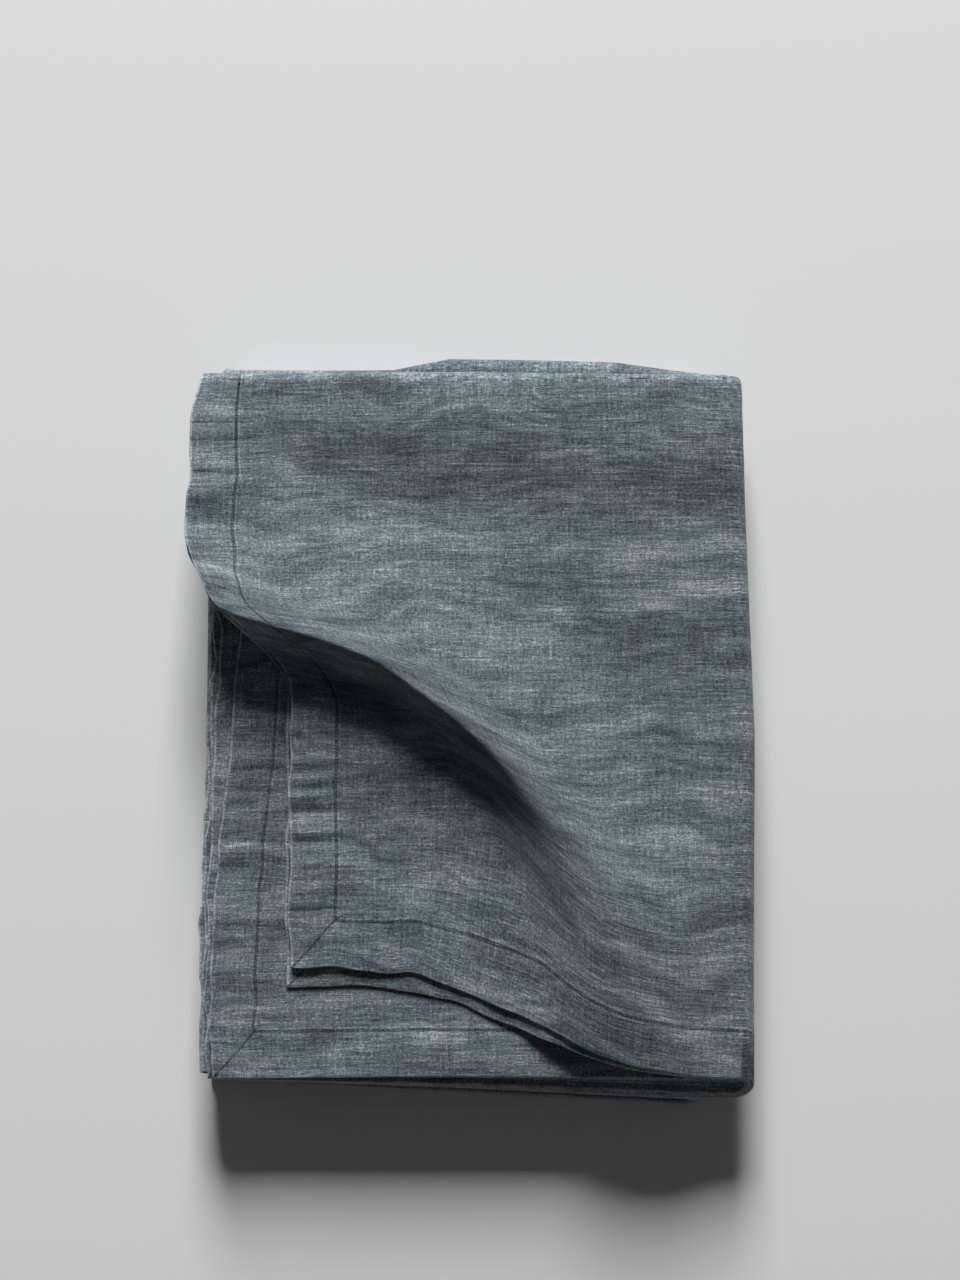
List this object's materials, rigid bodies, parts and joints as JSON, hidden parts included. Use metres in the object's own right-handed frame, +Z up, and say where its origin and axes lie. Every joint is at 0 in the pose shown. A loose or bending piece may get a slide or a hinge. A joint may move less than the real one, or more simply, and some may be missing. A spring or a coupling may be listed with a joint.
{
  "type": "folded tablecloth",
  "caption": "Rectangular washed-linen tablecloth with mitred hems, folded into a flat pile, its nudged top corner standing up in a soft diagonal ridge.",
  "frame": {"origin": "centre of the bounding box, on the surface that the pile lies on", "axes": "+X to the right, towards the folded side; +Y away from the viewer, towards the other folded side; +Z up. The cloth's four corners meet at -X, -Y."},
  "size_m": [0.324, 0.4288, 0.0753],
  "materials": {
    "linen": "matt washed plain-weave linen, blue-grey, with slubs along the weft"
  },
  "bodies": {
    "root": {"cloth": "linen"}
  },
  "joints": []
}
